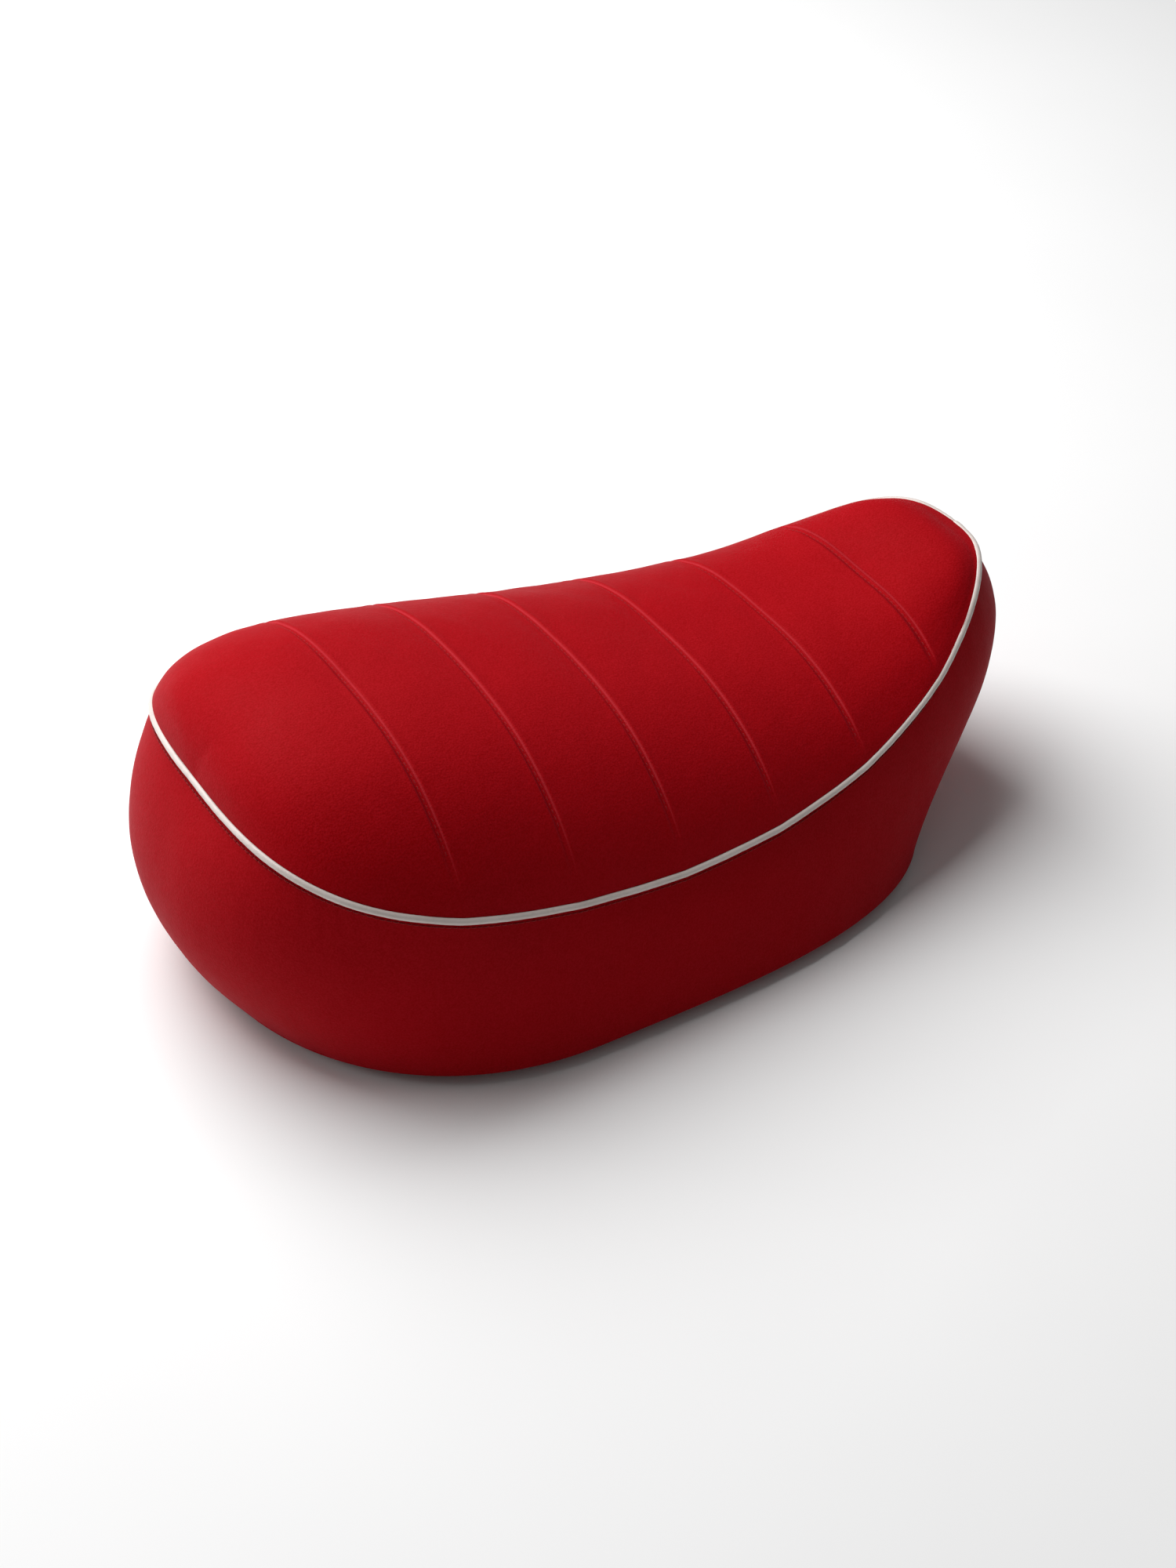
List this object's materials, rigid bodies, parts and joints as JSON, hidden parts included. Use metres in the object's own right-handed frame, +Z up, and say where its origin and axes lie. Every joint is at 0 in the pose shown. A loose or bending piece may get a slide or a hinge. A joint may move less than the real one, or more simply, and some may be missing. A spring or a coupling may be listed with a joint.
{
  "type": "scooter saddle",
  "caption": "Hinged bench saddle for a small scooter: red cover with stitched cross channels and light piping over a foam core on a moulded pan.",
  "frame": {"origin": "middle of the overall plan box, on the plane the buffers and the hinge's frame leaf rest on", "axes": "+X to the nose, +Y to the rider's left, +Z up"},
  "size_m": [0.605, 0.353, 0.2036],
  "materials": {
    "red_cover": "matt fine-grained vinyl, felt backed",
    "piping_vinyl": "light grey vinyl, soft sheen",
    "red_thread": "twisted sewing thread",
    "foam": "moulded polyurethane foam",
    "pan_plastic": "textured moulded polypropylene",
    "zinc_steel": "zinc plated pressing",
    "bright_steel": "bright zinc plate",
    "spring_steel": "oiled spring steel",
    "staple_steel": "galvanised wire",
    "nylon": "natural nylon",
    "buffer_rubber": "moulded rubber"
  },
  "bodies": {
    "frame_hinge": {"hinge_frame_leaf": "zinc_steel", "hinge_pin": "bright_steel", "hinge_clip": "spring_steel"},
    "saddle": {"hinge_seat_leaf": "zinc_steel", "hinge_bush_left": "nylon", "hinge_bush_right": "nylon", "hinge_bolts": "bright_steel", "hinge_washers": "bright_steel", "hinge_nuts": "bright_steel", "striker_bar": "bright_steel", "striker_plate": "zinc_steel", "striker_bolts": "bright_steel", "striker_nuts": "bright_steel", "base_pan": "pan_plastic", "foam_core": "foam", "cover_top": "red_cover", "cover_side": "red_cover", "cover_hem": "red_cover", "piping": "piping_vinyl", "seam_thread": "red_thread", "channel_threads": "red_thread", "staples": "staple_steel", "buffer_front_left": "buffer_rubber", "buffer_front_right": "buffer_rubber", "buffer_mid_left": "buffer_rubber", "buffer_mid_right": "buffer_rubber", "buffer_rear_left": "buffer_rubber", "buffer_rear_right": "buffer_rubber"}
  },
  "joints": [
    {"name": "seat_hinge", "type": "hinge", "parent": "frame_hinge", "child": "saddle", "pos_m": [0.24419, 0, 0.0095], "axis": [0, 1, 0], "range_deg": [0, 75]}
  ]
}
